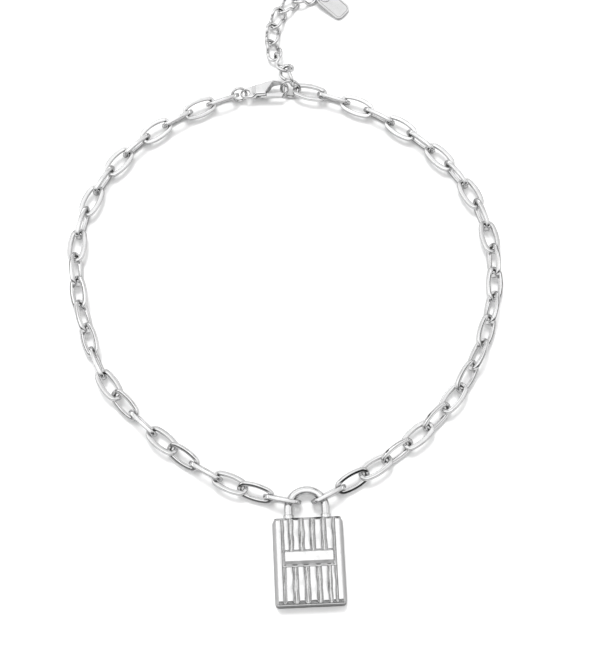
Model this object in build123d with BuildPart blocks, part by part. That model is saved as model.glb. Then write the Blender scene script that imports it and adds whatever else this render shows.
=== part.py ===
"""Padlock pendant necklace of polished metal, lying fastened on a flat surface.

Millimetres, +Z up. The origin is the middle of the padlock's flat back, +Y runs up through the
shackle to the clasp, and the surface that everything lies on is Z = 0.
"""
from build123d import *
from math import asin, atan, atan2, cos, degrees, hypot, radians, sin, sqrt
import os

os.makedirs("parts", exist_ok=True)

# Padlock body
lock_width = 19.4
lock_height = 24.0
lock_depth = 4.4
lock_corner = 1.1
flank_foot = 2.2
flank_lean = 0.8
rail_width = 2.4
rail_crest = 1.4
rail_rise = 0.8
rib_count = 5
rib_rise = 0.85
end_slope_run = 1.0
end_slope_foot = 0.4
bar_height = 3.4
bar_lift = 0.6
bar_rise = 1.1
bar_slope_run = 0.8
bar_bevel = 0.2
channel_margin = 0.35
channel_sink = 0.15

# Shackle
shackle_width = 12.5
shackle_wire = 2.3
shackle_rise = 9.1
collar_wall = 0.2
collar_height = 1.0
socket_depth = 3.0
socket_clearance = 0.06
socket_floor_gap = 0.1

# Cable chain, and the side of each shackle leg where it hangs, as degrees up round the arch
link_length = 10.7
link_width = 5.8
link_wire = 1.2
link_side_wire = 1.3
link_thickness = 1.2
link_side_radius = 14.0
link_edge_round = 0.4
link_pitch = 7.6
links_per_strand = 24
hang_slack = 0.8
ring_slack = 0.5
left_hang_angle = 28.0
right_hang_angle = 34.0
left_lean = 94.5

# Routes from the shackle to the rings, as shares of the strand's length along and across its chord
left_route = [
    (0.0, 0.0), (0.074, 0.139), (0.170, 0.229), (0.231, 0.268), (0.335, 0.296),
    (0.473, 0.300), (0.627, 0.217), (0.699, 0.108), (0.732, 0.0),
]
right_route = [
    (0.0, 0.0), (0.060, -0.114), (0.143, -0.213), (0.257, -0.280), (0.371, -0.304),
    (0.501, -0.277), (0.597, -0.207), (0.672, -0.103), (0.710, 0.0),
]

# How the links are rolled, from the shackle up: links in the stretch, first roll, step, in degrees
left_rolls = [(10, 72, 60.5), (4, -39, 93), (10, -13, 95)]
right_rolls = [(3, 72, 62), (2, -59, 68), (2, -54, 72), (6, -43, 93), (10, -12, 94), (1, -6, 0)]

# Rings
clasp_ring_width = 5.2
end_ring_width = 6.6
ring_wire = 0.9
clasp_ring_tilt = 56.0
clasp_ring_turn = 8.0
end_ring_tilt = 60.0
end_ring_turn = -7.0

# Clasp
clasp_length = 15.2
clasp_height = 5.9
clasp_drop = 1.5
clasp_depth = 3.4
clasp_crown = 26.0
clasp_nose_height = 5.08
shoulder_reach = 3.04
heart_reach = 8.4
mouth_reach = 6.08
mouth_slant = 2.2
eye_width = 3.8
eye_hole = 2.3
eye_depth = 1.2
nose_depth = 1.7
nose_bar = 1.5
hook_offset = 1.6
back_bar = 1.25
opening_round = 0.9
pin_wire = 0.8
pin_clearance = 0.05
pin_inset = 1.68
pin_lift = 0.63
lever_root_width = 2.1
lever_root_depth = 1.0
lever_depth = 1.5
lever_height = 1.05
lever_gap = 0.15
lever_tip_slant = 0.6

# Extender chain and tag
curb_length = 8.55
curb_width = 4.7
curb_wire = 1.0
curb_pitch = 6.0
curb_links = 7
curb_twist = 32.0
curb_slack = 0.4
extender_route = [
    (0.0, 0.0, 1.0), (-0.016, 0.056, 0.87), (-0.070, 0.180, 0.40), (-0.114, 0.310, 0.13),
    (-0.114, 0.450, 0.02), (-0.072, 0.583, 0.02), (0.012, 0.693, 0.02), (0.135, 0.750, 0.02),
    (0.238, 0.757, 0.02),
]
extender_rolls = [(3, 120, -55), (4, 0, 0)]
tag_ring_width = 4.7
tag_ring_wire = 0.7
tag_ring_tilt = 118.0
tag_ring_turn = -14.0
tag_length = 10.4
tag_width = 6.0
tag_depth = 0.8
tag_corner = 1.8
tag_rim = 0.5
tag_rim_rise = 0.2
tag_hole = 2.3
tag_hole_inset = 1.9
tag_turn = -42.0

# Heights of the lying chain: a link standing on its edge all but touches the surface
edge_gap = 0.02
chain_level = link_width / 2 + edge_gap
clasp_level = chain_level + edge_gap


def finish(piece, name):
    """Label the finished piece and write its file."""
    piece.part.label = name
    export_step(piece.part, f"parts/{name}.step")


def turned(origin, along, roll):
    """Plane with X along a direction and Y rolled up from level by an angle in degrees."""
    ahead = Vector(*along).normalized()
    level = Vector(0, 0, 1).cross(ahead).normalized()
    across = level * cos(radians(roll)) + ahead.cross(level) * sin(radians(roll))
    return Plane(origin=origin, x_dir=ahead, z_dir=ahead.cross(across))


# Padlock body: one casting with two side rails, flutes, a bare cross bar and two collars
half_width = lock_width / 2
rib_half = half_width - rail_width
rib_pitch = 2 * rib_half / rib_count
rail_top = lock_depth + rail_rise
crest_outer = half_width - flank_lean
crest_inner = crest_outer - rail_crest
leg_offset = (shackle_width - shackle_wire) / 2
lock_top = lock_height / 2
channel_floor = lock_depth - channel_sink
bar_foot = channel_floor - channel_sink
bar_top = channel_floor + bar_rise
bar_low = bar_lift - bar_height / 2
bar_high = bar_lift + bar_height / 2
tallest = lock_depth + max(rail_rise, rib_rise, bar_rise)

with BuildPart() as padlock_body:
    with BuildSketch(Plane.XZ):
        with BuildLine():
            Polyline(
                (-rib_half, lock_depth), (-crest_inner, rail_top), (-crest_outer, rail_top),
                (-half_width, flank_foot), (-half_width, 0), (half_width, 0),
                (half_width, flank_foot), (crest_outer, rail_top), (crest_inner, rail_top),
                (rib_half, lock_depth),
            )
            for rib in range(rib_count):
                left = -rib_half + rib * rib_pitch
                middle = (left + rib_pitch / 2, lock_depth + rib_rise)
                ThreePointArc((left, lock_depth), middle, (left + rib_pitch, lock_depth))
        make_face()
    extrude(amount=lock_top, both=True)
    with BuildSketch(Plane.XY):
        RectangleRounded(lock_width, lock_height, lock_corner)
    extrude(amount=tallest, mode=Mode.INTERSECT)
    with BuildSketch(Plane.YZ):
        for end in (1, -1):
            with BuildLine():
                Polyline(
                    (end * lock_top, lock_depth - end_slope_foot), (end * lock_top, 2 * tallest),
                    (end * (lock_top - end_slope_run), 2 * tallest),
                    (end * (lock_top - end_slope_run), tallest), close=True,
                )
            make_face()
    extrude(amount=half_width, both=True, mode=Mode.SUBTRACT)
    with BuildSketch(Plane.XY.offset(channel_floor)):
        with Locations((0, bar_lift)):
            Rectangle(2 * rib_half, bar_height + 2 * channel_margin)
    extrude(amount=2 * tallest, mode=Mode.SUBTRACT)
    with BuildSketch(Plane.YZ):
        with BuildLine():
            Polyline(
                (bar_low, bar_foot), (bar_low, channel_floor), (bar_low + bar_slope_run, bar_top),
                (bar_high - bar_bevel, bar_top), (bar_high, bar_top - bar_bevel),
                (bar_high, bar_foot), close=True,
            )
        make_face()
    extrude(amount=rib_half + channel_sink, both=True)
    for side in (-1, 1):
        with BuildSketch(Plane.XZ.offset(-lock_top)):
            with Locations((side * leg_offset, chain_level)):
                Circle(shackle_wire / 2 + socket_clearance + collar_wall)
        extrude(amount=-collar_height)
        with BuildSketch(Plane.XZ.offset(-lock_top - collar_height)):
            with Locations((side * leg_offset, chain_level)):
                Circle(shackle_wire / 2 + socket_clearance)
        extrude(amount=socket_depth, mode=Mode.SUBTRACT)
finish(padlock_body, "padlock_body")

# Shackle: a round bar bent to an arch, its two legs let into the collars
arch_radius = leg_offset
arch_y = lock_top + shackle_rise - shackle_width / 2
leg_foot = lock_top + collar_height - socket_depth + socket_floor_gap
with BuildPart() as padlock_shackle:
    with BuildLine(Plane.XY.offset(chain_level)) as shackle_path:
        Line((-leg_offset, leg_foot), (-leg_offset, arch_y))
        ThreePointArc((-leg_offset, arch_y), (0, arch_y + arch_radius), (leg_offset, arch_y))
        Line((leg_offset, arch_y), (leg_offset, leg_foot))
    with BuildSketch(Plane(origin=shackle_path.line @ 0, z_dir=shackle_path.line % 0)):
        Circle(shackle_wire / 2)
    sweep()
finish(padlock_shackle, "padlock_shackle")


def oval_half(length, width, side_radius):
    """Where the end arc and the side arc of an oval meet, in its first quarter."""
    half_length = length / 2
    centre_drop = side_radius - width / 2
    end_radius = (side_radius**2 - centre_drop**2 - half_length**2) / (2 * (side_radius - half_length))
    angle = atan2(centre_drop, half_length - end_radius)
    return half_length - end_radius + end_radius * cos(angle), end_radius * sin(angle)


# One link of the cable chain: wire with rounded edges, square at the ends and a little broader along
# the sides, bent to an oval and soldered shut
link_inner_length = link_length - 2 * link_wire
link_inner_width = link_width - 2 * link_side_wire
link_sides = (
    (link_length, link_width, link_side_radius, Mode.ADD),
    (link_inner_length, link_inner_width, link_side_radius - link_side_wire, Mode.SUBTRACT),
)
with BuildPart() as link:
    with BuildSketch(Plane.XY.offset(-link_thickness / 2)):
        for length, width, side_radius, mode in link_sides:
            meet_x, meet_y = oval_half(length, width, side_radius)
            with BuildLine():
                ThreePointArc((-meet_x, meet_y), (0, width / 2), (meet_x, meet_y))
                ThreePointArc((meet_x, meet_y), (length / 2, 0), (meet_x, -meet_y))
                ThreePointArc((meet_x, -meet_y), (0, -width / 2), (-meet_x, -meet_y))
                ThreePointArc((-meet_x, -meet_y), (-length / 2, 0), (-meet_x, meet_y))
            make_face(mode=mode)
    extrude(amount=link_thickness)
    fillet(link.faces().filter_by(Axis.Z).edges(), link_edge_round)

# Where each strand begins on the shackle, how far its links reach, and where its ring sits
first_step = link_inner_length / 2 - shackle_wire / 2 - hang_slack
left_last_step = link_inner_length / 2 - ring_slack + clasp_ring_width / 2 - ring_wire
right_last_step = link_inner_length / 2 - ring_slack + end_ring_width / 2 - ring_wire
links_reach = first_step + (links_per_strand - 1) * link_pitch


def chord(route, length):
    """Unit spline of a route and the factor that gives it the wanted length."""
    spline = Spline(*route)
    return spline, length / spline.length


def hang_point(side, angle):
    """Point on the shackle's centre line where a strand hangs."""
    return Vector(
        side * arch_radius * cos(radians(angle)), arch_y + arch_radius * sin(radians(angle)),
        chain_level,
    )


left_spline, left_scale = chord(left_route, links_reach + left_last_step)
right_spline, right_scale = chord(right_route, links_reach + right_last_step)
left_start = hang_point(-1, left_hang_angle)
right_start = hang_point(1, right_hang_angle)
left_chord = left_scale * left_route[-1][0]
right_chord = right_scale * right_route[-1][0]
left_end = left_start + Vector(left_chord, 0, 0).rotate(Axis.Z, left_lean)

# The clasp bridges the two strands, and the right strand swings until its ring meets the clasp
clasp_ring_radius = (clasp_ring_width - ring_wire) / 2
end_ring_radius = (end_ring_width - ring_wire) / 2
nose_inner = clasp_length - eye_width / 2 - nose_bar
hook_spot = Vector(nose_inner - ring_slack - ring_wire / 2, hook_offset, 0)
span = hook_spot + Vector(clasp_ring_radius, 0, 0).rotate(Axis.Z, clasp_ring_turn)
span += Vector(end_ring_radius, 0, 0).rotate(Axis.Z, end_ring_turn)
clasp_span = span.length
gap = right_start - left_end
gap_length = hypot(gap.X, gap.Y)
towards = (clasp_span**2 - right_chord**2 + gap_length**2) / (2 * gap_length)
sideways = sqrt(clasp_span**2 - towards**2)
gap_angle = atan2(gap.Y, gap.X)
span_angle = gap_angle + atan2(sideways, towards)
clasp_turn = degrees(span_angle - atan2(span.Y, span.X))
clasp_ahead = Vector(1, 0, 0).rotate(Axis.Z, clasp_turn)
clasp_ring_ahead = Vector(1, 0, 0).rotate(Axis.Z, clasp_turn + clasp_ring_turn)
end_ring_ahead = Vector(1, 0, 0).rotate(Axis.Z, clasp_turn + end_ring_turn)
right_end = left_end + Vector(cos(span_angle), sin(span_angle), 0) * clasp_span
right_lean = degrees(atan2(right_end.Y - right_start.Y, right_end.X - right_start.X))


def roll_list(stretches):
    """Roll of every link in a strand."""
    return [first + step * n for count, first, step in stretches for n in range(count)]


def link_places(spline, scale, start, lean, stretches, side):
    """Planes of the links of one strand, from the shackle up."""
    places = []
    for number, roll in enumerate(roll_list(stretches)):
        along = (first_step + number * link_pitch) / scale
        spot = spline.position_at(along, position_mode=PositionMode.LENGTH) * scale
        ahead = spline.tangent_at(along, position_mode=PositionMode.LENGTH)
        spot = start + spot.rotate(Axis.Z, lean)
        places.append(turned(spot, ahead.rotate(Axis.Z, lean), side * roll))
    return places


left_places = link_places(left_spline, left_scale, left_start, left_lean, left_rolls, 1)
right_places = link_places(right_spline, right_scale, right_start, right_lean, right_rolls, -1)
for name, places in (("chain_left", left_places), ("chain_right", right_places)):
    with BuildPart() as strand:
        with Locations(*places):
            add(link.part)
    finish(strand, name)

# Jump ring that joins the left strand to the clasp, and the ring the clasp hooks on
clasp_ring_at = Vector(left_end.X, left_end.Y, clasp_level)
end_ring_at = Vector(right_end.X, right_end.Y, clasp_level)
rings = (
    ("clasp_ring", clasp_ring_at, clasp_ring_ahead, clasp_ring_tilt, clasp_ring_radius),
    ("end_ring", end_ring_at, end_ring_ahead, end_ring_tilt, end_ring_radius),
)
for name, spot, ahead, tilt, radius in rings:
    with BuildPart(turned(spot, ahead, tilt)) as ring:
        Torus(radius, ring_wire / 2)
    finish(ring, name)

# Clasp: cast hook with an eye, cut open below and slotted for the lever, and its cross pin
eye_at = clasp_ring_at + clasp_ring_ahead * clasp_ring_radius
clasp_plane = Plane(origin=eye_at, x_dir=clasp_ahead, z_dir=(0, 0, 1))
clasp_front = clasp_length - eye_width / 2
clasp_bottom = -clasp_drop
clasp_top = clasp_bottom + clasp_height
nose_radius = clasp_nose_height / 2
nose_x = clasp_front - nose_radius
heart_y = (clasp_bottom + clasp_top) / 2
heart_radius = clasp_height / 2
opening_top = clasp_top - back_bar
lever_top = clasp_bottom + lever_height
pin_x = mouth_reach - pin_inset
pin_y = lever_top + pin_lift
root_radius = lever_root_width / 2
slot_depth = lever_root_depth + 2 * lever_gap

with BuildPart() as clasp_body:
    with BuildSketch(clasp_plane):
        Circle(eye_width / 2)
        with Locations((heart_reach, heart_y)):
            Circle(heart_radius)
        with Locations((nose_x, heart_y)):
            Circle(nose_radius)
        make_hull()
    extrude(amount=clasp_depth / 2, both=True, taper=clasp_crown)
    side_plane = Plane(origin=eye_at, x_dir=clasp_ahead, z_dir=clasp_plane.y_dir * -1)
    with BuildSketch(side_plane):
        with BuildLine():
            Polyline(
                (-eye_width, eye_depth / 2), (eye_width / 2, eye_depth / 2),
                (shoulder_reach, clasp_depth / 2), (heart_reach, clasp_depth / 2),
                (nose_inner - ring_wire, nose_depth / 2), (clasp_length, nose_depth / 2),
                (clasp_length, -nose_depth / 2), (nose_inner - ring_wire, -nose_depth / 2),
                (heart_reach, -clasp_depth / 2), (shoulder_reach, -clasp_depth / 2),
                (eye_width / 2, -eye_depth / 2), (-eye_width, -eye_depth / 2), close=True,
            )
        make_face()
    extrude(amount=clasp_length, both=True, mode=Mode.INTERSECT)
    with BuildSketch(clasp_plane):
        Circle(eye_hole / 2)
        with BuildLine():
            Polyline(
                (mouth_reach, clasp_bottom - lever_height), (mouth_reach, lever_top + lever_gap),
                (mouth_reach + mouth_slant, opening_top), (nose_inner, opening_top),
                (nose_inner, lever_top),
                (nose_inner - lever_tip_slant, clasp_bottom - lever_height), close=True,
            )
        make_face()
        fillet(vertices().group_by(Axis.Y)[-1], opening_round)
    extrude(amount=clasp_depth, both=True, mode=Mode.SUBTRACT)
    with BuildSketch(clasp_plane):
        with BuildLine():
            Polyline(
                (pin_x, pin_y), (pin_x + 2 * root_radius, pin_y + root_radius + lever_gap),
                (pin_x + 2 * root_radius, 2 * clasp_bottom),
                (pin_x - root_radius - lever_gap, 2 * clasp_bottom),
                (pin_x - root_radius - lever_gap, pin_y), close=True,
            )
        make_face()
        with Locations((pin_x, pin_y)):
            Circle(root_radius + lever_gap)
    extrude(amount=slot_depth / 2, both=True, mode=Mode.SUBTRACT)
    with BuildSketch(clasp_plane):
        with Locations((pin_x, pin_y)):
            Circle(pin_wire / 2)
    extrude(amount=clasp_depth / 2, both=True)
finish(clasp_body, "clasp_body")

with BuildPart() as clasp_lever:
    with BuildSketch(clasp_plane):
        with Locations((pin_x, pin_y)):
            Circle(root_radius)
        with BuildLine():
            Polyline(
                (pin_x, pin_y), (pin_x + root_radius * 0.6, pin_y + root_radius * 0.8),
                (mouth_reach + 2 * lever_gap, lever_top), (mouth_reach + 2 * lever_gap, clasp_bottom),
                (pin_x, clasp_bottom), close=True,
            )
        make_face()
    extrude(amount=lever_root_depth / 2, both=True)
    with BuildSketch(clasp_plane):
        with BuildLine():
            Polyline(
                (mouth_reach + lever_gap, lever_top), (nose_inner - lever_gap, lever_top),
                (nose_inner - lever_gap - lever_tip_slant, clasp_bottom),
                (mouth_reach + lever_gap, clasp_bottom), close=True,
            )
        make_face()
    extrude(amount=lever_depth / 2, both=True)
    with BuildSketch(clasp_plane):
        with Locations((pin_x, pin_y)):
            Circle(pin_wire / 2 + pin_clearance)
    extrude(amount=clasp_depth / 2, both=True, mode=Mode.SUBTRACT)
finish(clasp_lever, "clasp_lever")

# One curb link: round wire, its two ends twisted opposite ways so that the chain lies flat
curb_radius = (curb_width - curb_wire) / 2 / cos(radians(curb_twist))
curb_middle = curb_length / 2 - curb_wire / 2 - curb_radius
curb_y = curb_radius * cos(radians(curb_twist))
curb_z = curb_radius * sin(radians(curb_twist))
with BuildLine() as curb_path:
    for end in (1, -1):
        ThreePointArc(
            (end * curb_middle, curb_y, end * curb_z), (end * (curb_middle + curb_radius), 0, 0),
            (end * curb_middle, -curb_y, -end * curb_z),
        )
        for side in (1, -1):
            TangentArc(
                (end * curb_middle, side * curb_y, side * end * curb_z), (0, side * curb_y, 0),
                tangent=(-end, 0, 0),
            )
with BuildPart() as curb:
    for bend in curb_path.edges():
        with BuildSketch(Plane(origin=bend @ 0, z_dir=bend % 0)):
            Circle(curb_wire / 2)
        sweep(path=bend)

# Extender: curb links from the end ring's top down to the surface and on to the tag's ring
curb_level = curb_z + curb_wire / 2 + edge_gap
ring_back = end_ring_ahead.rotate(Axis.Z, 90) * (end_ring_radius * cos(radians(end_ring_tilt)))
extender_start = end_ring_at + ring_back + Vector(0, 0, end_ring_radius * sin(radians(end_ring_tilt)))
curb_inner = curb_length - 2 * curb_wire
extender_first = curb_inner / 2 - ring_wire / 2 - curb_slack
extender_last = curb_inner / 2 - curb_slack + tag_ring_width / 2 - tag_ring_wire
extender_length = extender_first + (curb_links - 1) * curb_pitch + extender_last
start_height = extender_start.Z - curb_level
extender_points = [
    Vector(
        extender_start.X + right * extender_length, extender_start.Y + up * extender_length,
        curb_level + lift * start_height,
    )
    for right, up, lift in extender_route
]
extender_spline = Spline(*extender_points)
curb_places = []
for number, roll in enumerate(roll_list(extender_rolls)):
    along = extender_first + number * curb_pitch
    spot = extender_spline.position_at(along, position_mode=PositionMode.LENGTH)
    ahead = extender_spline.tangent_at(along, position_mode=PositionMode.LENGTH)
    curb_places.append(turned(spot, ahead, roll))
with BuildPart() as extender_chain:
    with Locations(*curb_places):
        add(curb.part)
finish(extender_chain, "extender_chain")

# Tag ring, and the tag that hangs from it with its far end on the surface
ring_ahead = Vector(cos(radians(tag_ring_turn)), sin(radians(tag_ring_turn)), 0)
tag_ring_radius = (tag_ring_width - tag_ring_wire) / 2
tag_ring_level = tag_ring_radius * sin(radians(tag_ring_tilt)) + tag_ring_wire / 2 + edge_gap
last_ahead = curb_places[-1].x_dir
last_reach = curb_inner / 2 - curb_slack - tag_ring_wire / 2
last_hook = curb_places[-1].origin + last_ahead * last_reach
last_spot = last_hook + ring_ahead * tag_ring_radius
tag_ring_at = Vector(last_spot.X, last_spot.Y, tag_ring_level)
with BuildPart(turned(tag_ring_at, ring_ahead, tag_ring_tilt)) as tag_ring:
    Torus(tag_ring_radius, tag_ring_wire / 2)
finish(tag_ring, "tag_ring")

tag_reach = tag_length - tag_hole_inset
tag_dip = asin(tag_ring_level / hypot(tag_reach, tag_depth / 2)) - atan(tag_depth / 2 / tag_reach)
tag_ahead = Vector(
    cos(radians(tag_turn)) * cos(tag_dip), sin(radians(tag_turn)) * cos(tag_dip), -sin(tag_dip),
)
tag_plane = turned(tag_ring_at + ring_ahead * tag_ring_radius, tag_ahead, 0)
tag_middle = tag_reach - tag_length / 2
with BuildPart() as tag:
    with BuildSketch(tag_plane.offset(-tag_depth / 2)):
        with Locations((tag_middle, 0)):
            RectangleRounded(tag_length, tag_width, tag_corner)
    extrude(amount=tag_depth)
    with BuildSketch(tag_plane.offset(tag_depth / 2)):
        with Locations((tag_middle, 0)):
            RectangleRounded(tag_length, tag_width, tag_corner)
            RectangleRounded(
                tag_length - 2 * tag_rim, tag_width - 2 * tag_rim, tag_corner - tag_rim,
                mode=Mode.SUBTRACT,
            )
        Circle(tag_hole / 2 + tag_rim)
    extrude(amount=tag_rim_rise)
    with BuildSketch(tag_plane):
        Circle(tag_hole / 2)
    extrude(amount=tag_length, both=True, mode=Mode.SUBTRACT)
finish(tag, "tag")
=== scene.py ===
"""Looks of the padlock pendant necklace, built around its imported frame, in metres."""
from math import atan2, cos, pi, radians, sin

import bmesh
import bpy
import numpy as np
from mathutils import Matrix, Vector


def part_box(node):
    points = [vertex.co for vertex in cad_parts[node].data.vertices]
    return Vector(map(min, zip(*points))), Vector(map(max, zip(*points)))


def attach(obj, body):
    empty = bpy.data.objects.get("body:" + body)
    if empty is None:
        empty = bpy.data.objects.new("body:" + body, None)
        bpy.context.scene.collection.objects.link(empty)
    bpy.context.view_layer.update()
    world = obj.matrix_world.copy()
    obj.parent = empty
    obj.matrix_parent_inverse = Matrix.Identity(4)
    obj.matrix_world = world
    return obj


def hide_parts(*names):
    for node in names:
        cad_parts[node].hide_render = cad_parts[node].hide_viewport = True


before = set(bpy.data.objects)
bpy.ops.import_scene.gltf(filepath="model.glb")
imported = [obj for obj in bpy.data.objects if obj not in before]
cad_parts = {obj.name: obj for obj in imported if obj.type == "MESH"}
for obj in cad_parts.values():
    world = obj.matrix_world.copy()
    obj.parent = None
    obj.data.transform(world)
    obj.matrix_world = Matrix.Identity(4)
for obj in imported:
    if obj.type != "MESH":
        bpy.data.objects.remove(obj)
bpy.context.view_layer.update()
MM = 0.001
scene = bpy.context.scene

# Camera: it looks down on the lying necklace from the padlock's end, as the photograph does, with
# the picture turned a little against the padlock.
photo_width = 590
focal_in_pixels = 1538.5
picture_turn = radians(-2.5)
view = bpy.data.cameras.new("camera")
camera = bpy.data.objects.new("camera", view)
scene.collection.objects.link(camera)
scene.camera = camera
view.sensor_fit = "HORIZONTAL"
view.sensor_width = 36.0
view.lens = focal_in_pixels / photo_width * view.sensor_width
view.clip_start, view.clip_end = 0.02, 20.0
camera_at = Vector((-8.1, -97.1, 413.9)) * MM
looks_at = Vector((-0.9, 68.7, 2.9)) * MM
sight = (looks_at - camera_at).normalized()
rightward = Vector((cos(picture_turn), sin(picture_turn), 0))
rightward = (rightward - sight * rightward.dot(sight)).normalized()
turn = Matrix((rightward, rightward.cross(sight), -sight)).transposed()
camera.matrix_world = Matrix.Translation(camera_at) @ turn.to_4x4()


# Studio: a pale paper table in a soft white tent, greyer on the camera's side, with a dark seam low
# round its walls and dark gaps between its panels. One wide lamp stands beyond the clasp, so that
# shadows fall towards the padlock's end.
class Feed:
    """One output of a node tree; arithmetic on feeds adds Math nodes to their tree."""

    def __init__(self, tree, socket):
        self.tree, self.socket = tree, socket

    @staticmethod
    def node(tree, kind, settings, sockets, output=0):
        """Add a node: its settings come first, then the values or feeds of its sockets."""
        made = tree.nodes.new(kind)
        for name, value in settings.items():
            if name == "stops":
                ramp = made.color_ramp.elements
                while len(ramp) < len(value):
                    ramp.new(1.0)
                for stop, (place, shade) in zip(ramp, value):
                    stop.position, stop.color = place, (shade, shade, shade, 1)
            else:
                setattr(made, name, value)
        for name, value in sockets.items():
            if isinstance(value, Feed):
                tree.links.new(value.socket, made.inputs[name])
            else:
                made.inputs[name].default_value = value
        return Feed(tree, made.outputs[output]) if made.outputs else None

    def maths(self, operation, *values):
        """A Math node on the given values, or on this feed alone where none is given."""
        taken = dict(enumerate(values or (self,)))
        return Feed.node(self.tree, "ShaderNodeMath", {"operation": operation}, taken)

    def __add__(self, other):
        return self.maths("ADD", self, other)

    def __sub__(self, other):
        return self.maths("SUBTRACT", self, other)

    def __rsub__(self, other):
        return self.maths("SUBTRACT", other, self)

    def __mul__(self, other):
        return self.maths("MULTIPLY", self, other)

    def __truediv__(self, other):
        return self.maths("DIVIDE", self, other)

    def __rtruediv__(self, other):
        return self.maths("DIVIDE", other, self)

    __radd__ = __add__
    __rmul__ = __mul__

    def eased(self, low, high, bottom=0.0, top=1.0):
        """This feed from low to high, eased onto bottom to top."""
        return Feed.node(
            self.tree, "ShaderNodeMapRange", {"interpolation_type": "SMOOTHSTEP"},
            {"Value": self, "From Min": low, "From Max": high, "To Min": bottom, "To Max": top},
        )


scene.view_settings.view_transform = "Standard"
tent = bpy.data.worlds.new("tent")
scene.world = tent
tent.use_nodes = True
cloth = tent.node_tree
cloth.nodes.clear()
towards = Feed.node(cloth, "ShaderNodeTexCoord", {}, {})
sideways = Feed.node(cloth, "ShaderNodeSeparateXYZ", {}, {"Vector": towards})
away = Feed(cloth, sideways.socket.node.outputs["Y"])
upward = Feed(cloth, sideways.socket.node.outputs["Z"])
brightness_at_height = (
    (0.00, 0.80), (0.18, 0.75), (0.22, 0.02), (0.32, 0.02), (0.36, 1.35), (0.57, 1.45),
    (0.62, 0.80), (0.72, 0.76), (0.80, 1.00), (0.94, 1.04), (0.965, 1.30), (1.00, 1.38),
)
roof = Feed.node(cloth, "ShaderNodeValToRGB", {"stops": brightness_at_height}, {0: upward})
left_glow, right_glow = 1.34, 1.05
panels = sideways.eased(-0.6, 0.5, left_glow, right_glow)
panel_gaps = ((-0.62, -0.54), (0.30, 0.37), (0.60, 0.68))
gap_edge = 0.03
below_roof = upward.eased(0.55, 0.65, 0.85, 0.0)
for low, high in panel_gaps:
    gap = sideways.eased(low - gap_edge, low) * sideways.eased(high, high + gap_edge, 1.0, 0.0)
    panels = panels * (1 - gap * below_roof)
near_wall = away.eased(-0.8, 0.0, 0.75, 0.0) * upward.eased(0.52, 0.75, 1.0, 0.0)
tone = roof * panels * (1 - near_wall)
glow = Feed.node(cloth, "ShaderNodeBackground", {}, {"Color": tone, "Strength": 1.0})
Feed.node(cloth, "ShaderNodeOutputWorld", {}, {"Surface": glow})

lamp_light = bpy.data.lights.new("lamp", "AREA")
lamp_light.shape = "RECTANGLE"
lamp_light.size, lamp_light.size_y = 0.8, 0.7
lamp_light.energy = 27.0
lamp = bpy.data.objects.new("lamp", lamp_light)
scene.collection.objects.link(lamp)
lamp.location = (-0.20, 0.90, 1.95)
lamp.visible_glossy = False
lamp_looks_at = Vector((0, 0.07, 0))
lamp.rotation_euler = (lamp_looks_at - lamp.location).to_track_quat("-Z", "Y").to_euler()

table_mesh = bpy.data.meshes.new("table")
table_reach = 3.0
table_mesh.from_pydata(
    [(-table_reach, -table_reach, 0), (table_reach, -table_reach, 0),
     (table_reach, table_reach, 0), (-table_reach, table_reach, 0)], [], [(0, 1, 2, 3)],
)
table = bpy.data.objects.new("table", table_mesh)
scene.collection.objects.link(table)
# Painted reflection: the paper shows darker in the metal's mirror images than it does to the camera.
white_seen, white_mirrored = 0.93, 0.66
paper = bpy.data.materials.new("paper")
paper.use_nodes = True
paper.node_tree.nodes.clear()
grain = Feed.node(paper.node_tree, "ShaderNodeTexNoise", {}, {"Scale": 900.0, "Detail": 3.0})
fibre = Feed.node(paper.node_tree, "ShaderNodeBump", {}, {"Strength": 0.03, "Height": grain})
mirrored = Feed.node(paper.node_tree, "ShaderNodeLightPath", {}, {}, "Is Glossy Ray")
papers = [
    Feed.node(paper.node_tree, "ShaderNodeBsdfPrincipled", {}, {
        "Base Color": (white, white, white, 1), "Roughness": 0.9, "Specular IOR Level": 0.1,
        "Normal": fibre,
    }) for white in (white_seen, white_mirrored)
]
sheet = Feed.node(
    paper.node_tree, "ShaderNodeMixShader", {}, {0: mirrored, 1: papers[0], 2: papers[1]},
)
Feed.node(paper.node_tree, "ShaderNodeOutputMaterial", {}, {"Surface": sheet})
table_mesh.materials.append(paper)


# Padlock body: one heavy casting under bright plating, its flutes cut into the wax by hand so that
# no two run quite alike. Two rails stand at its sides, and a plain bar with sloping ends crosses
# it; two collars at its top take the shackle's legs.
def vector_node(tree, operation, first, second):
    """A Vector Math node of two inputs; a number scales."""
    other = "Scale" if operation == "SCALE" else 1
    return Feed.node(
        tree, "ShaderNodeVectorMath", {"operation": operation}, {0: first, other: second},
    )


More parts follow.
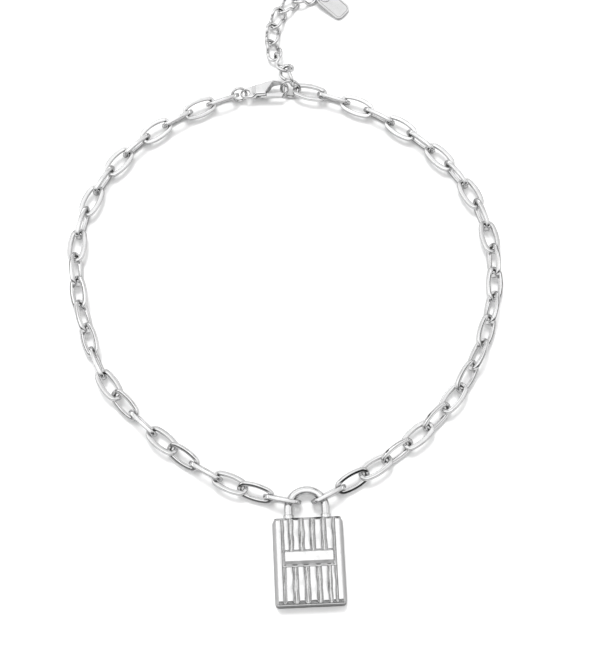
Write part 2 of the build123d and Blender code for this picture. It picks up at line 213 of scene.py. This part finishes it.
def plated_metal(name, shade, gloss, haze, ripple, grit):
    """Polished plating: clouded gloss, fine hairlines, a few pits and painted shade where marked."""
    metal = bpy.data.materials.new(name)
    metal.use_nodes = True
    tree = metal.node_tree
    tree.nodes.clear()
    place = Feed.node(tree, "ShaderNodeTexCoord", {}, {}, "Object")
    in_mm = vector_node(tree, "SCALE", place, 1 / MM)
    cloud = Feed.node(tree, "ShaderNodeTexNoise", {}, {"Vector": in_mm, "Scale": 0.45, "Detail": 3.0})
    swell = Feed.node(tree, "ShaderNodeTexNoise", {}, {"Vector": in_mm, "Scale": 0.9, "Detail": 1.0})
    strokes = [
        Feed.node(tree, "ShaderNodeTexNoise", {}, {
            "Vector": vector_node(tree, "MULTIPLY", in_mm, stretch), "Scale": scale, "Detail": 2.0,
        }).eased(0.60, 0.72)
        for stretch, scale in (((0.6, 14.0, 9.0), 1.0), ((11.0, 0.8, 12.0), 1.25))
    ]
    hairlines = strokes[0] + strokes[1]
    pits = Feed.node(
        tree, "ShaderNodeTexVoronoi", {"feature": "F1"}, {"Vector": in_mm, "Scale": 1.1}, "Distance",
    ).eased(0.05, 0.11, 1.0, 0.0)
    hollow_shade, batch = (
        Feed.node(tree, "ShaderNodeAttribute", {"attribute_name": title}, {}, "Fac")
        for title in ("wear", "batch")
    )
    dull = gloss + cloud.eased(0.35, 0.70, 0.0, haze) + hairlines * (haze * 0.6) + hollow_shade * 0.16
    # Painted shade: where the mesh marks it, the colour is mixed towards near black, rougher and a little
    # sunk.
    tint = Feed.node(tree, "ShaderNodeMix", {"data_type": "RGBA"}, {
        "Factor": cloud.eased(0.30, 0.75) * 0.08 + batch * 0.05 + hollow_shade,
        "A": (shade, shade, shade * 1.004, 1), "B": (shade * 0.16, shade * 0.16, shade * 0.155, 1),
    }, 2)
    relief = swell * ripple - hairlines * (grit * 0.25) - pits * grit - hollow_shade * grit
    facing = Feed.node(
        tree, "ShaderNodeBump", {}, {"Strength": 1.0, "Distance": MM, "Height": relief},
    )
    skin = Feed.node(tree, "ShaderNodeBsdfPrincipled", {}, {
        "Base Color": tint, "Metallic": 1.0, "Roughness": dull, "Normal": facing,
        "Specular Tint": (0.50, 0.50, 0.50, 1),
    })
    Feed.node(tree, "ShaderNodeOutputMaterial", {}, {"Surface": skin})
    return metal


def eased_step(value, low, high):
    """0 below low, 1 above high, eased between."""
    share = np.clip((value - low) / (high - low), 0, 1)
    return share * share * (3 - 2 * share)


cast_plating = plated_metal(
    "cast_plating", shade=0.74, gloss=0.06, haze=0.07, ripple=0.016, grit=0.008,
)
lock_low, lock_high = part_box("padlock_body")
lock_half_width, lock_half_height, lock_corner = lock_high.x / MM, -lock_low.y / MM, 1.2
wall_rings, wall_share, foot_tuck = 4, np.array((0.0, 0.05, 0.35, 0.75)), 0.12
columns, rows = 236, 290
rail_inner, rail_slope, rail_top = 7.2, 0.3, 5.2
rail_crown, rail_half_width, rail_side_round = 0.05, 0.6, 0.8
side_foot, side_round, side_curve = 1.9, 1.0, 0.8
end_foot, end_slope, end_unevenness = 4.05, 1.2, 0.06
floor_level, rib_rise, groove_half, chatter_depth = 4.4, 0.86, 0.17, 0.02
brow_share, flank_share, brow_drop = 0.45, 0.40, 0.06
groove_wander, crest_wander, brow_wander = 0.09, 0.22, 0.03
mean_rise, rise_wander = 0.92, 0.08
# Painted shade along the ribs' feet: where it begins and ends across a rib, its strength and its wander.
edge_shade_from, edge_shade_to, edge_shade_mean, edge_shade_wander = 0.80, 0.95, 0.60, 0.35
upper_grooves = (-7.2, -4.75, -1.8, 1.15, 4.25, 7.2)
lower_grooves = (-7.2, -3.9, -0.8, 2.5, 5.4, 7.2)
bar_low, bar_high, bar_slope_foot, bar_top = -0.25, 2.3, -1.35, 5.33
bar_half_length, bar_end_slope, bar_step, bar_unevenness = 6.45, 0.65, 0.25, 0.03
bar_foot_step, bar_foot_share, under_bar = 0.12, 0.30, 0.4
channel_level, channel_near, channel_far = floor_level - 0.15, 0.25, 0.55
# Painted shade on the groove floors: how far above the floor it starts, its depth, its most and its
# height limit.
shade_above_floor, shade_depth, floor_shade, shade_height_limit = 0.10, 0.3, 0.25, 0.6
smoothing_passes = 2
hand = np.random.default_rng(7)

column, row = np.meshgrid(np.arange(columns + 1), np.arange(rows + 1), indexing="ij")
border = np.minimum(np.minimum(column, columns - column), np.minimum(row, rows - row))
face_columns, face_rows = columns - 2 * wall_rings, rows - 2 * wall_rings
x = (np.clip(column - wall_rings, 0, face_columns) / face_columns * 2 - 1) * lock_half_width
y = (np.clip(row - wall_rings, 0, face_rows) / face_rows * 2 - 1) * lock_half_height
from_side, from_end = lock_half_width - np.abs(x), lock_half_height - np.abs(y)
corner_x = np.maximum(np.abs(x) - (lock_half_width - lock_corner), 0)
corner_y = np.maximum(np.abs(y) - (lock_half_height - lock_corner), 0)
square, radial = np.maximum(corner_x, corner_y), np.hypot(corner_x, corner_y)
pull = np.where(radial > 0, square / np.maximum(radial, 1e-9), 1)
x = np.sign(x) * (np.minimum(np.abs(x), lock_half_width - lock_corner) + corner_x * pull)
y = np.sign(y) * (np.minimum(np.abs(y), lock_half_height - lock_corner) + corner_y * pull)


def hand_wave(where, number):
    """The slow wander of a hand-held tool along one cut."""
    first, second = hand.uniform(0, 2 * pi, 2)
    return 0.6 * np.sin(where * (0.45 + 0.07 * number) + first) + 0.4 * np.sin(where * 1.3 + second)


upper = y > bar_high - under_bar
ribs = np.full_like(x, floor_level)
edge_shade = np.zeros_like(x)
for half, grooves in ((upper, upper_grooves), (~upper, lower_grooves)):
    last = len(grooves) - 1
    lines = [
        hand_wave(y, number) * (groove_wander if 0 < number < last else 0.0) + groove
        for number, groove in enumerate(grooves)
    ]
    for rib in range(last):
        left, right = lines[rib] + groove_half, lines[rib + 1] - groove_half
        middle = (left + right) / 2 + hand_wave(y, rib) * crest_wander
        reach = np.where(x < middle, middle - left, right - middle)
        share = np.clip(np.abs(x - middle) / reach, 0, 1)
        crest = rib_rise * (mean_rise + rise_wander * hand_wave(y, rib + 2))
        brow = brow_share + brow_wander * hand_wave(y, rib + 1)
        rise = crest * (1 - brow_drop * (share / brow) ** 2)
        rise = rise * (1 - eased_step(share, brow, brow + flank_share))
        inside = half & (x >= left) & (x <= right)
        ribs = np.where(inside, floor_level + rise, ribs)
        # Painted shade: a thin dark line down each side of the rib, where it meets the groove.
        edge_darkness = edge_shade_mean + edge_shade_wander * hand_wave(y, rib + 4)
        edge_shaded = eased_step(share, edge_shade_from, edge_shade_to) * edge_darkness
        edge_shade = np.where(inside, np.maximum(edge_shade, edge_shaded), edge_shade)
chatter = chatter_depth * np.sin(y * 9.0 + np.sin(y * 2.1) * 4) * np.sin(y * 0.9 + x)
ribs = ribs + chatter * (ribs < floor_level + 0.05)

side_x = np.abs(x)
in_middle = side_x < rail_inner
rail_flat = rail_inner + rail_slope
rail_middle = (rail_flat + lock_half_width - rail_side_round) / 2
rail = floor_level + (rail_top - floor_level) * eased_step(side_x, rail_inner, rail_flat)
rail -= rail_crown * ((side_x - rail_middle) / rail_half_width) ** 2 * (side_x > rail_flat)
face = np.where(side_x > rail_inner, rail, ribs)
channel = eased_step(y, bar_slope_foot - channel_far, bar_slope_foot - channel_near)
channel = channel * (1 - eased_step(y, bar_high + channel_near, bar_high + channel_far))
face = np.where(in_middle, face * (1 - channel) + channel_level * channel, face)
bar_up = eased_step(y, bar_slope_foot, bar_slope_foot + bar_foot_step) * bar_foot_share
up_slope = (y - bar_slope_foot - bar_foot_step / 2) / (bar_low - bar_slope_foot)
bar_up += np.clip(up_slope, 0, 1) * (1 - bar_foot_share)
bar_up *= 1 - eased_step(y, bar_high, bar_high + bar_step)
bar_up *= 1 - eased_step(side_x, bar_half_length, bar_half_length + bar_end_slope)
bar = channel_level + (bar_top - channel_level) * bar_up
bar -= bar_unevenness * (1 + np.sin(x * 1.7 + 0.5) * np.cos(y * 1.3 + x * 0.4))
face = np.where(in_middle, np.maximum(face, bar), face)
end_limit = end_foot + end_slope * from_end + end_unevenness * hand_wave(x, 1)
side_share = np.clip(from_side / side_round, 0, 2)
side_limit = side_foot + (rail_top - side_foot) * side_share**side_curve
face = np.minimum(np.minimum(face, end_limit), side_limit)
for _ in range(smoothing_passes):
    soft = face.copy()
    soft[1:-1, 1:-1] = (
        face[1:-1, 1:-1] * 4 + face[:-2, 1:-1] + face[2:, 1:-1] + face[1:-1, :-2] + face[1:-1, 2:]
    ) / 8
    face = soft

edge_column = np.clip(column, wall_rings, columns - wall_rings)
edge_row = np.clip(row, wall_rings, rows - wall_rings)
rim = face[edge_column, edge_row]
z = np.where(border < wall_rings, rim * wall_share[np.clip(border, 0, wall_rings - 1)], face)
tuck = np.where(border == 0, foot_tuck, 0.0)
x, y = x - np.sign(x) * tuck * (from_side < 1e-6), y - np.sign(y) * tuck * (from_end < 1e-6)
points = np.stack((x, y, z), axis=-1).reshape(-1, 3) * MM
number = np.arange((columns + 1) * (rows + 1)).reshape(columns + 1, rows + 1)
quads = np.stack((number[:-1, :-1], number[1:, :-1], number[1:, 1:], number[:-1, 1:]), -1)
hem = np.concatenate((number[0, :], number[1:, -1], number[-1, -2::-1], number[-2:0:-1, 0]))
casting_mesh = bpy.data.meshes.new("padlock_casting")
casting_mesh.from_pydata(points.tolist(), [], quads.reshape(-1, 4).tolist() + [hem.tolist()])
casting = bpy.data.objects.new("padlock_casting", casting_mesh)
scene.collection.objects.link(casting)
# Painted shade: the colour darkens a little on the groove floors, and to near black in thin lines along
# the ribs' feet, between the rails only.
lock_shade = np.clip((floor_level + shade_above_floor - face) / shade_depth, 0, floor_shade)
lock_shade = lock_shade + edge_shade * (1 - channel)
lock_shade = lock_shade * (border > wall_rings + 3) * in_middle * (face < floor_level + shade_height_limit)
wear = casting_mesh.attributes.new("wear", "FLOAT", "POINT")
wear.data.foreach_set("value", lock_shade.reshape(-1).astype(np.float32))
casting_mesh.materials.append(cast_plating)
casting_mesh.shade_smooth()

collar_at, collar_outer, collar_bore, collar_level = 5.1, 1.41, 1.21, 2.92
collar_foot, collar_top = 11.7, 13.0
collar_profile = (
    (collar_foot, 1.30), (12.0, collar_outer), (12.88, collar_outer), (12.97, 1.37),
    (collar_top, 1.31), (12.95, 1.22), (collar_foot, collar_bore),
)
turned_steps = 40
for side, name in ((-1, "collar_left"), (1, "collar_right")):
    shaped = bmesh.new()
    hoops = [
        [shaped.verts.new(Vector((
            side * collar_at + radius * cos(2 * pi * step / turned_steps), along,
            collar_level + radius * sin(2 * pi * step / turned_steps),
        )) * MM) for step in range(turned_steps)]
        for along, radius in collar_profile
    ]
    for first, second in zip(hoops, hoops[1:] + hoops[:1]):
        for step in range(turned_steps):
            follow = (step + 1) % turned_steps
            shaped.faces.new((first[step], first[follow], second[follow], second[step]))
    bmesh.ops.recalc_face_normals(shaped, faces=shaped.faces)
    collar_mesh = bpy.data.meshes.new("padlock_collar")
    shaped.to_mesh(collar_mesh)
    shaped.free()
    collar_mesh.materials.append(cast_plating)
    collar_mesh.shade_smooth()
    collar = bpy.data.objects.new(name, collar_mesh)
    scene.collection.objects.link(collar)
    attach(collar, "necklace")
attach(casting, "necklace")
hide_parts("padlock_body")

# Shackle: a round bar bent to an arch, its two legs let into the collars and fixed there, of the
# same plated metal as the padlock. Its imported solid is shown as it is.
shackle_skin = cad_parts["padlock_shackle"].data.materials
shackle_skin.clear()
shackle_skin.append(cast_plating)

# Cable chains: squarish wire, its edges rounded, bent to long ovals and soldered shut one through
# the next, then plated. The two strands hang on the shackle's two sides and meet at the clasp.
link_plating = plated_metal(
    "link_plating", shade=0.77, gloss=0.05, haze=0.06, ripple=0.010, grit=0.004,
)
link_half_length, link_half_width, link_side_arc = 4.75, 2.25, 13.35
link_end_breadth, link_breadth, link_thickness, link_edge_round = 1.2, 1.3, 1.2, 0.34
link_arc_steps, mouth_share = 17, 0.45


def link_poses(node):
    """Middle, length direction and face direction of every link of a chain in the frame."""
    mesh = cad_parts[node].data
    spots = np.empty(len(mesh.vertices) * 3)
    mesh.vertices.foreach_get("co", spots)
    spots, spot_of = np.unique(np.round(spots.reshape(-1, 3) / MM, 4), axis=0, return_inverse=True)
    corners = np.empty(len(mesh.polygons) * 3, int)
    mesh.polygons.foreach_get("vertices", corners)
    corners = spot_of.reshape(-1)[corners].reshape(-1, 3)
    group = np.arange(len(spots))
    settled = False
    while not settled:
        before = group.copy()
        least = group[corners].min(axis=1)
        for corner in range(3):
            np.minimum.at(group, corners[:, corner], least)
        group = group[group]
        settled = (group == before).all()
    poses = []
    for link in np.unique(group):
        held = corners[group[corners[:, 0]] == link]
        first, second, third = (spots[held[:, corner]] for corner in range(3))
        area = np.linalg.norm(np.cross(second - first, third - first), axis=1)
        centres = (first + second + third) / 3
        middle = (centres * area[:, None]).sum(axis=0) / area.sum()
        spread = (centres - middle) * np.sqrt(area)[:, None]
        _, axes = np.linalg.eigh(spread.T @ spread)
        poses.append((middle, axes[:, 2], np.cross(axes[:, 2], axes[:, 1])))
    return poses


def node_graph(name, inputs):
    """An empty Geometry Nodes tree with named number inputs, and a feed for each of them."""
    tree = bpy.data.node_groups.new(name, "GeometryNodeTree")
    tree.interface.new_socket("Geometry", in_out="INPUT", socket_type="NodeSocketGeometry")
    tree.interface.new_socket("Geometry", in_out="OUTPUT", socket_type="NodeSocketGeometry")
    for title in inputs:
        tree.interface.new_socket(title, in_out="INPUT", socket_type="NodeSocketFloat")
    entry = tree.nodes.new("NodeGroupInput")
    feeds = {title: Feed(tree, entry.outputs[title]) for title in ("Geometry", *inputs)}
    return tree, feeds


def spot_node(tree, along=0.0, across=0.0, up=0.0):
    """A point from three numbers or feeds."""
    return Feed.node(tree, "ShaderNodeCombineXYZ", {}, {0: along, 1: across, 2: up})


def closed_wire(tree, bends, steps):
    """One closed curve from arcs that each run through three points."""
    joined = Feed.node(tree, "GeometryNodeJoinGeometry", {}, {})
    for start, middle, end in bends:
        bend = Feed.node(tree, "GeometryNodeCurveArc", {"mode": "POINTS"}, {
            "Resolution": steps, "Start": start, "Middle": middle, "End": end,
        })
        tree.links.new(bend.socket, joined.socket.node.inputs[0])
    loose = Feed.node(tree, "GeometryNodeCurveToMesh", {}, {0: joined})
    merged = Feed.node(tree, "GeometryNodeMergeByDistance", {}, {"Geometry": loose, "Distance": 1e-6})
    return Feed.node(tree, "GeometryNodeMeshToCurve", {}, {0: merged})


def laid_pieces(tree, points, wire, profile, capped, wear, material, shift=(0.0, 0.0, 0.0)):
    """Sweep the profile along the wire, lay one piece on each point and make one mesh of them."""
    swept = Feed.node(tree, "GeometryNodeCurveToMesh", {}, {0: wire, 1: profile, "Fill Caps": capped})
    swept = Feed.node(tree, "GeometryNodeSetPosition", {}, {"Geometry": swept, "Offset": shift})
    marked = Feed.node(
        tree, "GeometryNodeStoreNamedAttribute", {"data_type": "FLOAT", "domain": "POINT"},
        {"Geometry": swept, "Name": "wear", "Value": wear},
    )
    directions = [
        Feed.node(tree, "GeometryNodeInputNamedAttribute", {"data_type": "FLOAT_VECTOR"}, {"Name": title})
        for title in ("ahead", "face")
    ]
    turned_to = Feed.node(
        tree, "FunctionNodeAxesToRotation", {"primary_axis": "X", "secondary_axis": "Z"},
        {0: directions[0], 1: directions[1]},
    )
    laid = Feed.node(tree, "GeometryNodeInstanceOnPoints", {}, {
        "Points": points, "Instance": marked, "Rotation": turned_to,
    })
    batch = Feed.node(
        tree, "FunctionNodeRandomValue", {"data_type": "FLOAT"}, {2: 0.0, 3: 1.0, "Seed": 3}, 1,
    )
    told = Feed.node(
        tree, "GeometryNodeStoreNamedAttribute", {"data_type": "FLOAT", "domain": "INSTANCE"},
        {"Geometry": laid, "Name": "batch", "Value": batch},
    )
    real = Feed.node(tree, "GeometryNodeRealizeInstances", {}, {0: told})
    smooth = Feed.node(tree, "GeometryNodeSetShadeSmooth", {}, {0: real, 2: True})
    plated = Feed.node(tree, "GeometryNodeSetMaterial", {}, {0: smooth, "Material": material})
    Feed.node(tree, "NodeGroupOutput", {}, {0: plated})


def place_parts(tree):
    """Where a point of a piece lies from its middle: its place along, and two plain distances."""
    along = Feed.node(
        tree, "ShaderNodeSeparateXYZ", {}, {0: Feed.node(tree, "GeometryNodeInputPosition", {}, {})},
    )
    across = Feed(tree, along.socket.node.outputs[1])
    return along, along.maths("ABSOLUTE"), across.maths("ABSOLUTE")


def shaded_ends(tree, inner_end, half_gap):
    """Painted shade inside a link's two ends, where the next links hang."""
    _, along, across = place_parts(tree)
    near = (along / inner_end).eased(0.86, 0.94) * (along / inner_end).eased(1.00, 1.06, 1.0, 0.0)
    return near * (across / half_gap).eased(0.8, 1.3, 1.0, 0.0) * 0.9


def grown(name, points, directions, tree, sizes):
    """Run a tree on a few points and keep its result as a plain mesh piece."""
    seeds = bpy.data.meshes.new(name + "_points")
    seeds.from_pydata([tuple(Vector(point) * MM) for point in points], [], [])
    for title, vectors in directions.items():
        layer = seeds.attributes.new(title, "FLOAT_VECTOR", "POINT")
        layer.data.foreach_set("vector", np.array(vectors, dtype=np.float32).reshape(-1))
    carrier = bpy.data.objects.new(name + "_points", seeds)
    scene.collection.objects.link(carrier)
    growing = carrier.modifiers.new("grow", "NODES")
    growing.node_group = tree
    for entry in tree.interface.items_tree:
        if entry.in_out == "INPUT" and entry.name in sizes:
            growing[entry.identifier] = float(sizes[entry.name])
    carrier.modifiers.new("flats", "WEIGHTED_NORMAL").keep_sharp = True
    result = bpy.data.meshes.new_from_object(
        carrier.evaluated_get(bpy.context.evaluated_depsgraph_get()),
    )
    bpy.data.objects.remove(carrier)
    result.name = name
    piece = bpy.data.objects.new(name, result)
    scene.collection.objects.link(piece)
    return piece


link_fall = link_side_arc - link_half_width
link_end_arc = link_side_arc**2 - link_fall**2 - link_half_length**2
link_end_arc = link_end_arc / (2 * (link_side_arc - link_half_length))
link_turn = atan2(link_fall, link_half_length - link_end_arc)
cable, size_of = node_graph("cable_link", (
    "Half length", "Half width", "Meet along", "Meet across", "Breadth", "End breadth",
    "Thickness", "Edge round",
))
corner_spots = {
    (end, side): spot_node(cable, end * size_of["Meet along"], side * size_of["Meet across"])
    for end in (-1, 1) for side in (-1, 1)
}
oval = closed_wire(cable, (
    (corner_spots[-1, 1], spot_node(cable, 0.0, size_of["Half width"]), corner_spots[1, 1]),
    (corner_spots[1, 1], spot_node(cable, size_of["Half length"]), corner_spots[1, -1]),
    (corner_spots[1, -1], spot_node(cable, 0.0, -1 * size_of["Half width"]), corner_spots[-1, -1]),
    (corner_spots[-1, -1], spot_node(cable, -1 * size_of["Half length"]), corner_spots[-1, 1]),
), link_arc_steps)
upright = Feed.node(cable, "GeometryNodeSetCurveNormal", {"mode": "Z_UP"}, {0: oval})
square_wire = Feed.node(cable, "GeometryNodeCurvePrimitiveQuadrilateral", {"mode": "RECTANGLE"}, {
    "Width": size_of["Breadth"], "Height": size_of["Thickness"],
})
edged = Feed.node(cable, "GeometryNodeFilletCurve", {"mode": "POLY"}, {
    "Curve": square_wire, "Count": 4, "Radius": size_of["Edge round"],
})
link_along, link_reach, _ = place_parts(cable)
squeezed = (size_of["Half length"] - link_reach) * (1 - size_of["End breadth"] / size_of["Breadth"])
squeezed = squeezed * (link_reach / size_of["Half length"]).eased(0.72, 0.92)
laid_pieces(cable, size_of["Geometry"], upright, edged, False, shaded_ends(
    cable, size_of["Half length"] - size_of["End breadth"] / 2, size_of["Half width"] * mouth_share,
), link_plating, spot_node(cable, link_along.maths("SIGN") * squeezed))
for name in ("chain_left", "chain_right"):
    middles, aheads, faces = zip(*link_poses(name))
    strand = grown(name + "_links", middles, {"ahead": aheads, "face": faces}, cable, {
        "Half length": link_half_length * MM, "Half width": link_half_width * MM,
        "Meet along": (link_half_length - link_end_arc + link_end_arc * cos(link_turn)) * MM,
        "Meet across": link_end_arc * sin(link_turn) * MM, "Breadth": link_breadth * MM,
        "End breadth": link_end_breadth * MM, "Thickness": link_thickness * MM,
        "Edge round": link_edge_round * MM,
    })
    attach(strand, "necklace")
    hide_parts(name)

# Jump rings: round wire wound on a rod and sawn apart, each closed with its two ends butted. One
# joins the left strand to the clasp, one ends the right strand, and a small one carries the tag.
fitting_plating = plated_metal(
    "fitting_plating", shade=0.74, gloss=0.05, haze=0.05, ripple=0.006, grit=0.003,
)
saw_cut, ring_mouth_share, ring_steps, wire_steps = 0.05, 0.4, 96, 20
wire_of_ring = {"clasp_ring": 0.9, "end_ring": 0.9, "tag_ring": 0.7}
ring_tree, ring_size = node_graph("jump_ring", ("Radius", "Wire", "Saw cut"))
sawn = Feed.node(ring_tree, "GeometryNodeCurveArc", {"mode": "RADIUS"}, {
    "Resolution": ring_steps, "Radius": ring_size["Radius"], "Start Angle": ring_size["Saw cut"] / 2,
    "Sweep Angle": 2 * pi - ring_size["Saw cut"],
})
ring_upright = Feed.node(ring_tree, "GeometryNodeSetCurveNormal", {"mode": "Z_UP"}, {0: sawn})
ring_round = Feed.node(ring_tree, "GeometryNodeCurvePrimitiveCircle", {"mode": "RADIUS"}, {
    "Resolution": wire_steps, "Radius": ring_size["Wire"] / 2,
})
laid_pieces(ring_tree, ring_size["Geometry"], ring_upright, ring_round, True, shaded_ends(
    ring_tree, ring_size["Radius"] - ring_size["Wire"] / 2, ring_size["Radius"] * ring_mouth_share,
), fitting_plating)
for name, wire in wire_of_ring.items():
    middle, _, axis = link_poses(name)[0]
    ring_low, ring_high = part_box(name)
    steepest = np.array((0.0, 0.0, 1.0)) - axis * axis[2]
    steepest = steepest / np.linalg.norm(steepest)
    ring_radius = ((ring_high.z - ring_low.z) / MM - wire) / 2 / steepest[2]
    ring = grown(name + "_wire", [middle], {"ahead": [steepest], "face": [axis]}, ring_tree, {
        "Radius": ring_radius * MM, "Wire": wire * MM, "Saw cut": saw_cut / ring_radius,
    })
    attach(ring, "necklace")
    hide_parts(name)


# Clasp: a hook cast in one with its eye, tumbled until every edge is round, polished and plated. It
# is slotted for the lever, and the cross pin that the lever turns on is set in the slot.
def paint_hollow_shade(mesh, step):
    """Paint shade as a point attribute where a mesh is hollow against its neighbours a step away."""
    darkening, spreading_passes = 8, 3
    spots, facing = np.empty(len(mesh.vertices) * 3), np.empty(len(mesh.vertices) * 3)
    mesh.vertices.foreach_get("co", spots)
    mesh.vertex_normals.foreach_get("vector", facing)
    spots, facing = spots.reshape(-1, 3), facing.reshape(-1, 3)
    pairs = np.empty(len(mesh.edges) * 2, int)
    mesh.edges.foreach_get("vertices", pairs)
    pairs = np.concatenate((pairs.reshape(-1, 2), pairs.reshape(-1, 2)[:, ::-1]))
    count = np.bincount(pairs[:, 0], minlength=len(spots))

    def neighbours_mean(values):
        return np.bincount(pairs[:, 0], weights=values[pairs[:, 1]], minlength=len(spots)) / count

    mean = np.stack([neighbours_mean(spots[:, axis]) for axis in range(3)], axis=1)
    hollow = np.clip(((mean - spots) * facing).sum(axis=1) / step * darkening, 0, 1)
    for _ in range(spreading_passes):
        hollow = (hollow + neighbours_mean(hollow)) / 2
    mesh.attributes.new("wear", "FLOAT", "POINT").data.foreach_set("value", hollow.astype(np.float32))


def tumbled_copy(node, name, voxel, rounds, plating):
    """A closed copy of a node's form, its edges rubbed round, with painted shade in its hollows."""
    welding_distance = 0.002 * MM
    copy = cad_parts[node].data.copy()
    shaped = bmesh.new()
    shaped.from_mesh(copy)
    bmesh.ops.remove_doubles(shaped, verts=shaped.verts, dist=welding_distance)
    shaped.to_mesh(copy)
    shaped.free()
    rough = bpy.data.objects.new(name + "_rough", copy)
    scene.collection.objects.link(rough)
    cast = rough.modifiers.new("cast", "REMESH")
    cast.mode, cast.voxel_size, cast.adaptivity = "VOXEL", voxel * MM, 0.0
    rubbed = rough.modifiers.new("rubbed", "SMOOTH")
    rubbed.factor, rubbed.iterations = 0.5, rounds
    result = bpy.data.meshes.new_from_object(
        rough.evaluated_get(bpy.context.evaluated_depsgraph_get()),
    )
    bpy.data.objects.remove(rough)
    result.name = name
    result.materials.clear()
    result.materials.append(plating)
    result.shade_smooth()
    # Painted shade in the hollows and creases, such as the foot of a raised rim.
    paint_hollow_shade(result, voxel * MM)
    piece = bpy.data.objects.new(name, result)
    scene.collection.objects.link(piece)
    return piece


clasp = tumbled_copy(
    "clasp_body", "clasp_casting", voxel=0.08, rounds=110, plating=fitting_plating,
)
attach(clasp, "necklace")
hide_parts("clasp_body")

# Lever: a small cast bar that shuts the hook's mouth, drilled at its root for the cross pin that
# it turns on, of the same plated metal as the clasp.
lever = tumbled_copy(
    "clasp_lever", "clasp_lever_bar", voxel=0.04, rounds=10, plating=fitting_plating,
)
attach(lever, "lever")
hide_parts("clasp_lever")

# Extender: curb links of round wire, each twisted so that the chain lies flat, and soldered shut one
# through the next. The first hangs on the end ring and the last carries the tag's ring.
curb_twist, curb_breadth, curb_length, curb_wire = radians(32.0), 4.7, 8.55, 1.0
curb_arc_steps = 13
curb_arc = (curb_breadth - curb_wire) / 2 / cos(curb_twist)
curb_middle = curb_length / 2 - curb_wire / 2 - curb_arc
curb_across, curb_up = curb_arc * cos(curb_twist), curb_arc * sin(curb_twist)
curb_side_arc = (curb_middle**2 + curb_up**2) / (2 * curb_up)
curb_half_turn = (pi / 2 + atan2(curb_side_arc - curb_up, -curb_middle)) / 2
curb_tree, curb_size = node_graph("curb_link", (
    "Middle", "Arc", "Across", "Up", "Bend along", "Bend up", "Wire",
))
curb_bends = []
for end in (1, -1):
    crown = [
        spot_node(
            curb_tree, end * curb_size["Middle"], side * curb_size["Across"],
            side * end * curb_size["Up"],
        )
        for side in (1, -1)
    ]
    tip = spot_node(curb_tree, end * (curb_size["Middle"] + curb_size["Arc"]))
    curb_bends.append((crown[0], tip, crown[1]))
    for side, corner in zip((1, -1), crown):
        curb_bends.append((
            corner,
            spot_node(
                curb_tree, end * curb_size["Bend along"], side * curb_size["Across"],
                side * end * curb_size["Bend up"],
            ),
            spot_node(curb_tree, 0.0, side * curb_size["Across"]),
        ))
curb_path = closed_wire(curb_tree, curb_bends, curb_arc_steps)
curb_round = Feed.node(curb_tree, "GeometryNodeCurvePrimitiveCircle", {"mode": "RADIUS"}, {
    "Resolution": wire_steps, "Radius": curb_size["Wire"] / 2,
})
laid_pieces(curb_tree, curb_size["Geometry"], curb_path, curb_round, False, shaded_ends(
    curb_tree, curb_size["Middle"] + curb_size["Arc"] - curb_size["Wire"] / 2,
    curb_size["Across"] * mouth_share,
), link_plating)
middles, aheads, faces = zip(*link_poses("extender_chain"))
extender = grown("extender_links", middles, {"ahead": aheads, "face": faces}, curb_tree, {
    "Middle": curb_middle * MM, "Arc": curb_arc * MM, "Across": curb_across * MM,
    "Up": curb_up * MM, "Bend along": (curb_middle + curb_side_arc * cos(curb_half_turn)) * MM,
    "Bend up": (curb_up - curb_side_arc + curb_side_arc * sin(curb_half_turn)) * MM,
    "Wire": curb_wire * MM,
})
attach(extender, "necklace")
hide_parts("extender_chain")

# Tag: a small plate stamped out with a raised rim round its edge and its hole, its face plain and a
# little uneven from the stamp, then plated. It hangs on the last small ring.
tag_plating = plated_metal(
    "tag_plating", shade=0.72, gloss=0.10, haze=0.10, ripple=0.030, grit=0.006,
)
tag = tumbled_copy("tag", "tag_plate", voxel=0.06, rounds=3, plating=tag_plating)
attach(tag, "necklace")
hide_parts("tag")
